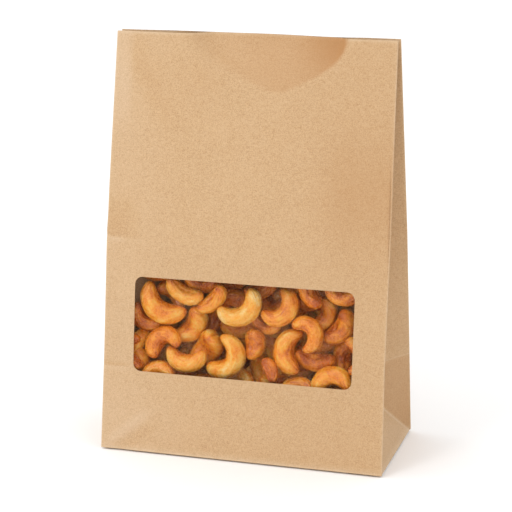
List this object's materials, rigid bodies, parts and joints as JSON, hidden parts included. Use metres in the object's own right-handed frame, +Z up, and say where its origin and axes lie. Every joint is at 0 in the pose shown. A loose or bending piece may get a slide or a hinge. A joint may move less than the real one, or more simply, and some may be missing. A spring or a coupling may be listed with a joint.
{
  "type": "windowed paper bag of cashews",
  "caption": "Brown kraft block-bottom bag with side gussets, open at the top, with a clear front window that shows roasted cashews.",
  "frame": {"origin": "middle of the flat bottom, on the surface the bag stands on", "axes": "+X along the front from left to right as seen from the front, +Y from the front to the back, +Z up to the open mouth"},
  "size_m": [0.16, 0.0764, 0.2289],
  "materials": {
    "kraft_paper": "unbleached brown kraft paper, matt, with fine fibres",
    "clear_film": "thin clear film, slightly hazed by the nuts",
    "roasted_nut": "roasted nut, golden to orange brown, slightly oily",
    "nut_heap": "heap of roasted nuts"
  },
  "bodies": {
    "root": {"paper_bag": "kraft_paper", "window_film": "clear_film", "nut_filling": "nut_heap", "cashew_01": "roasted_nut", "cashew_02": "roasted_nut", "cashew_03": "roasted_nut", "cashew_04": "roasted_nut", "cashew_05": "roasted_nut", "cashew_06": "roasted_nut", "cashew_07": "roasted_nut", "cashew_08": "roasted_nut", "cashew_09": "roasted_nut", "cashew_10": "roasted_nut", "cashew_11": "roasted_nut", "cashew_12": "roasted_nut", "cashew_13": "roasted_nut", "cashew_14": "roasted_nut", "cashew_15": "roasted_nut", "cashew_16": "roasted_nut", "cashew_17": "roasted_nut", "cashew_18": "roasted_nut", "cashew_19": "roasted_nut", "cashew_20": "roasted_nut", "cashew_21": "roasted_nut", "cashew_22": "roasted_nut", "cashew_23": "roasted_nut", "cashew_24": "roasted_nut", "cashew_25": "roasted_nut", "cashew_26": "roasted_nut", "cashew_27": "roasted_nut", "cashew_28": "roasted_nut", "cashew_29": "roasted_nut", "cashew_30": "roasted_nut", "cashew_31": "roasted_nut", "cashew_32": "roasted_nut", "cashew_33": "roasted_nut", "cashew_34": "roasted_nut", "cashew_35": "roasted_nut", "cashew_36": "roasted_nut", "cashew_37": "roasted_nut", "cashew_38": "roasted_nut", "cashew_39": "roasted_nut", "cashew_40": "roasted_nut", "cashew_41": "roasted_nut", "cashew_42": "roasted_nut", "cashew_43": "roasted_nut", "cashew_44": "roasted_nut", "cashew_45": "roasted_nut", "cashew_46": "roasted_nut", "cashew_47": "roasted_nut"}
  },
  "joints": []
}
